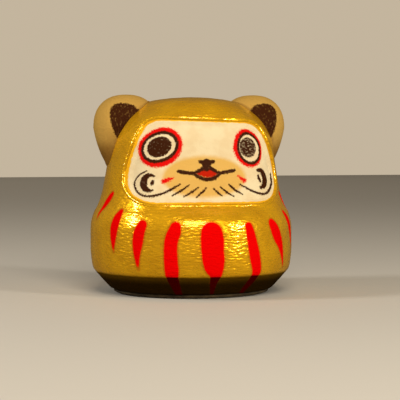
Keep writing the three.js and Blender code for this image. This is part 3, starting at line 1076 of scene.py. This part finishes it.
def ear_surface(name, side, rule, sizes):
    """A plump lobe whose root lies just under the hood's surface."""
    half_width, rise, square = sizes.ear_half_width, sizes.ear_rise, sizes.ear_square
    centre = np.array([EAR_HIGH.x - half_width, (EAR_LOW.y + EAR_HIGH.y) / 2, EAR_HIGH.z - rise])
    rows = round(math.pi * rise / sizes.ear_spacing * 1.1)
    columns = round(2 * math.pi * half_width / sizes.ear_spacing)
    up, turn = np.meshgrid(np.linspace(math.pi / 2, -math.pi / 2, rows),
                           np.linspace(0, 2 * math.pi, columns, endpoint=False), indexing="ij")
    way = np.stack([np.cos(up) * np.cos(turn), np.cos(up) * np.sin(turn), np.sin(up)], -1)
    way = way.reshape(-1, 3)
    way = way * (np.abs(way) ** square).sum(1, keepdims=True) ** (-1 / square)
    width = 1 + sizes.ear_taper * np.minimum(0, way[:, 2])
    local = np.stack([
        way[:, 0] * width * half_width,
        way[:, 1] * width * sizes.ear_half_depth,
        way[:, 2] * np.where(way[:, 2] > 0, rise, sizes.ear_drop),
    ], -1)
    edge = smooth_line([*EAR_PATCH, EAR_PATCH[0]], 4)[:-1]
    patch = np.where(local[:, 1] < 0,
                     outline_depth(local[:, 0] / MM, local[:, 2] / MM, edge), UNPAINTED)
    local[:, 1] += sizes.ear_dent * smooth_step(patch, -2.5, 4)
    point = local + centre
    angle = np.arctan2(point[:, 0], -point[:, 1])
    surface = rule.at(angle, rule.run_at(np.clip(point[:, 2], 5 * MM, CROWN - 0.1 * MM)))
    hood = np.hypot(surface[:, 0], surface[:, 1])
    off = np.hypot(point[:, 0], point[:, 1]) - hood
    flare = sizes.ear_flare * np.exp(-((off / (1.6 * MM)) ** 2))
    outward = way / np.linalg.norm(way, axis=1, keepdims=True)
    point = point + outward * flare[:, None]
    radius = np.maximum(np.hypot(point[:, 0], point[:, 1]), 1e-6)
    point[:, :2] *= np.maximum((hood - sizes.ear_root) / radius, 1)[:, None]
    # Painted shade: the root mark grows towards the ear's bottom and near the hood
    root = smooth_step(centre[2] - point[:, 2], -2 * MM, 26 * MM)
    root = np.maximum(root, 0.55 * smooth_step(-off, -6 * MM, 0))
    point[:, 0] *= side
    faces = grid_faces(rows, columns, closed=True)
    if side < 0:
        faces = faces[:, ::-1]
    return make_mesh(name, point, faces, {"patch_mm": patch, "root": root})


class DARUMA_OT_ears(bpy.types.Operator):
    """Builds the two ears"""

    bl_idname = "daruma.ears"
    bl_label = "Ears"

    def execute(self, context):
        scene = context.scene
        sizes = scene.doll_sizes
        rule = BodyRule(sizes)
        finish = finish_named("Sprayed Ear", ear_finish, scene.doll_colours)
        for node, side in (("left_ear", 1), ("right_ear", -1)):
            ear = ear_surface("sprayed_" + node, side, rule, sizes)
            merge_doubles(ear)
            ripple(ear, finish, scene.doll_relief, share=0.6)
            plain_mesh(ear)
            seat(ear, node)
        return {"FINISHED"}


# ---- Foot and hidden paper ----

def turned_piece(name, profile, segments=180):
    """A closed piece turned about Z from (radius, height) points, axis to axis."""
    line = np.array(profile)
    turn = np.linspace(0, 2 * math.pi, segments, endpoint=False)
    radius, angle = np.meshgrid(line[:, 0], turn, indexing="ij")
    height = np.repeat(line[:, 1], segments)
    x, y = radius * np.sin(angle), -radius * np.cos(angle)
    point = np.stack([x.ravel(), y.ravel(), height], -1)
    piece = make_mesh(name, point, grid_faces(len(line), segments, closed=True))
    merge_doubles(piece)
    return piece


def rounded(points, radius, steps=4):
    """The line with its corners rounded, keeping its ends."""
    points = np.array(points, float)
    line = [points[0]]
    for before, corner, after in zip(points, points[1:], points[2:]):
        ways = [before - corner, after - corner]
        cut = [min(radius, 0.45 * np.linalg.norm(way)) for way in ways]
        start, end = (corner + way / np.linalg.norm(way) * c for way, c in zip(ways, cut))
        for t in np.linspace(0, 1, steps):
            line.append((1 - t) ** 2 * start + 2 * (1 - t) * t * corner + t**2 * end)
    return np.array([*line, points[-1]])


def filled(points, spacing):
    """The line with points added, so that none are further apart than the spacing."""
    line = [points[0]]
    for start, end in zip(points, points[1:]):
        parts = max(1, math.ceil(np.linalg.norm(end - start) / spacing - 0.001))
        line += [start + (end - start) * i / parts for i in range(1, parts + 1)]
    return np.array(line)


class DARUMA_OT_foot(bpy.types.Operator):
    """Builds the clay foot and the paper under it"""

    bl_idname = "daruma.foot"
    bl_label = "Foot"

    def execute(self, context):
        scene = context.scene
        sizes, colours = scene.doll_sizes, scene.doll_colours
        rim, plug, bevel = FOOT_HIGH.x, sizes.plug_radius, sizes.plug_bevel
        low, top = FOOT_LOW.z, FOOT_HIGH.z
        rim_top = SHELL_LOW.z - sizes.glue_gap
        corners = [(0, top), (plug - bevel, top - bevel / 4), (plug, top - bevel),
                   (plug, rim_top), (rim, rim_top), (rim - 0.3 * MM, low), (0, low)]
        foot = turned_piece("clay_foot", filled(rounded(corners, sizes.foot_corner), 1.6 * MM))
        finish = finish_named("Clay Foot", clay_finish, colours)
        ripple(foot, finish, scene.doll_relief, share=0.3)
        plain_mesh(foot)
        seat(foot, "base_weight")
        edge, thick = PAPER_HIGH.x, PAPER_HIGH.z
        corners = [(0, thick), (edge, thick), (edge, 0), (0, 0)]
        disc = turned_piece("paper_disc", filled(rounded(corners, sizes.paper_corner), 3 * MM))
        disc.data.materials.append(finish_named("Raw Paper", paper_finish, colours))
        plain_mesh(disc)
        seat(disc, "base_paper")
        return {"FINISHED"}


class DARUMA_OT_seam_strips(bpy.types.Operator):
    """Gives the paper strips inside the seam their finish"""

    bl_idname = "daruma.seam_strips"
    bl_label = "Seam Strips"

    def execute(self, context):
        finish = finish_named("Raw Paper", paper_finish, context.scene.doll_colours)
        for node in ("seam_strip_right", "seam_strip_top", "seam_strip_left"):
            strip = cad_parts[node]
            strip.data.materials.clear()
            strip.data.materials.append(finish)
        return {"FINISHED"}


# ---- Stage ----

def soft_light(name, place, aim, size, power, tint, mirrored):
    light = bpy.data.lights.new(name, "AREA")
    light.shape = "RECTANGLE"
    light.size, light.size_y = size
    light.energy = power
    light.color = tint
    lamp = bpy.data.objects.new(name, light)
    lamp.location = place
    lamp.rotation_euler = (Vector(aim) - Vector(place)).to_track_quat("-Z", "Y").to_euler()
    lamp.visible_glossy = mirrored
    bpy.context.scene.collection.objects.link(lamp)


class DARUMA_OT_stage(bpy.types.Operator):
    """Sets the floor, the soft lights and the camera"""

    bl_idname = "daruma.stage"
    bl_label = "Stage"

    def execute(self, context):
        scene = context.scene
        studio = scene.doll_studio
        self.floor(scene, studio)
        self.room(scene)
        for light in LIGHTS:
            soft_light(*light)
        self.camera(scene, studio)
        return {"FINISHED"}

    def floor(self, scene, studio):
        half = studio.floor_size / 2
        low = -0.1 * MM
        points = np.array([(-half, -half, low), (half, -half, low), (half, half, low),
                           (-half, half, low)])
        floor = make_mesh("studio_floor", points, np.array([[0, 1, 2, 3]]))
        floor.data.materials.append(floor_finish("Studio Floor", scene.doll_colours))
        floor.visible_glossy = False

    def room(self, scene):
        world = bpy.data.worlds.new("Studio")
        world.use_nodes = True
        nodes = Nodes(world.node_tree)
        background = world.node_tree.nodes["Background"]
        background.inputs["Color"].default_value = ROOM_COLOUR
        strength = nodes.node("ShaderNodeMapRange")
        strength.inputs["To Min"].default_value = ROOM_LIGHT
        strength.inputs["To Max"].default_value = ROOM_SEEN
        seen = nodes.node("ShaderNodeLightPath").outputs["Is Camera Ray"]
        nodes.join(seen, strength.inputs["Value"])
        nodes.join(strength.outputs["Result"], background.inputs["Strength"])
        scene.world = world
        scene.view_settings.view_transform = "Standard"

    def camera(self, scene, studio):
        turn = math.radians(studio.azimuth)
        right = Vector((math.cos(turn), math.sin(turn), 0))
        place = Vector((math.sin(turn), -math.cos(turn), 0)) * studio.distance
        place.z = studio.height
        aim = right * studio.aim_right + Vector((0, 0, studio.aim_height))
        data = bpy.data.cameras.new("Camera")
        data.lens = studio.lens
        data.sensor_width = 36
        camera = bpy.data.objects.new("Camera", data)
        camera.location = place
        camera.rotation_euler = (aim - place).to_track_quat("-Z", "Y").to_euler()
        scene.collection.objects.link(camera)
        scene.camera = camera


class DARUMA_PT_panel(bpy.types.Panel):
    """Lists the steps that build the doll"""

    bl_label = "Daruma Doll"
    bl_idname = "DARUMA_PT_panel"
    bl_space_type = "VIEW_3D"
    bl_region_type = "UI"
    bl_category = "Daruma"

    def draw(self, context):
        for operator in OPERATORS:
            self.layout.operator(operator.bl_idname)


GROUPS = {
    "doll_sizes": DollSizes,
    "doll_relief": Relief,
    "doll_colours": DollColours,
    "doll_studio": Studio,
}
OPERATORS = (
    DARUMA_OT_body,
    DARUMA_OT_face,
    DARUMA_OT_cord,
    DARUMA_OT_ears,
    DARUMA_OT_foot,
    DARUMA_OT_seam_strips,
    DARUMA_OT_stage,
)


def register():
    for made in (*GROUPS.values(), *OPERATORS, DARUMA_PT_panel):
        bpy.utils.register_class(made)
    for name, group in GROUPS.items():
        setattr(bpy.types.Scene, name, PointerProperty(type=group))


def unregister():
    for name in GROUPS:
        delattr(bpy.types.Scene, name)
    for made in reversed((*GROUPS.values(), *OPERATORS, DARUMA_PT_panel)):
        bpy.utils.unregister_class(made)


def main():
    register()
    bpy.ops.daruma.body()
    bpy.ops.daruma.face()
    bpy.ops.daruma.cord()
    bpy.ops.daruma.ears()
    bpy.ops.daruma.foot()
    bpy.ops.daruma.seam_strips()
    bpy.ops.daruma.stage()


if __name__ == "__main__":
    main()
